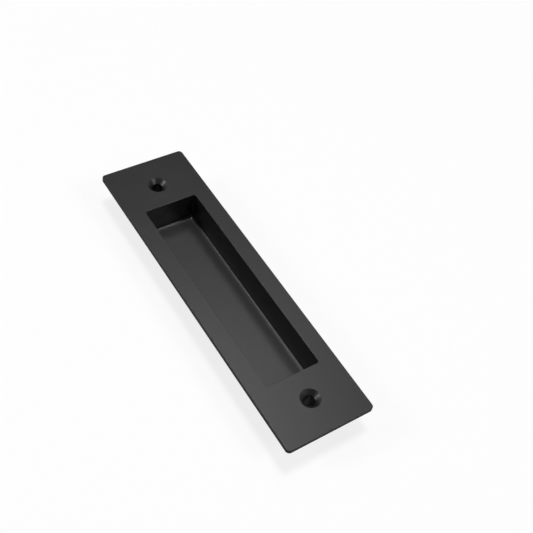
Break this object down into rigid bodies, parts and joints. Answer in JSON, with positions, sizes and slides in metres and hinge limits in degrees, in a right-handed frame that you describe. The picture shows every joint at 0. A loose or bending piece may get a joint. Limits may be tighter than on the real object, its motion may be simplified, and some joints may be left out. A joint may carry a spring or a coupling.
{
  "type": "flush door pull",
  "caption": "Rectangular flush door pull: a slim face plate with a deep finger recess and a countersunk screw hole at each end.",
  "frame": {"origin": "centre of the plate's back, the face that seats on the door, midway between the two screw holes", "axes": "+Z out of the door through the face, +Y along the plate's length, +X across its width"},
  "size_m": [0.04, 0.152, 0.0161],
  "materials": {
    "matte_black_coat": "matte black powder coat on die-cast zinc"
  },
  "bodies": {
    "root": {"pull_body": "matte_black_coat"}
  },
  "joints": []
}
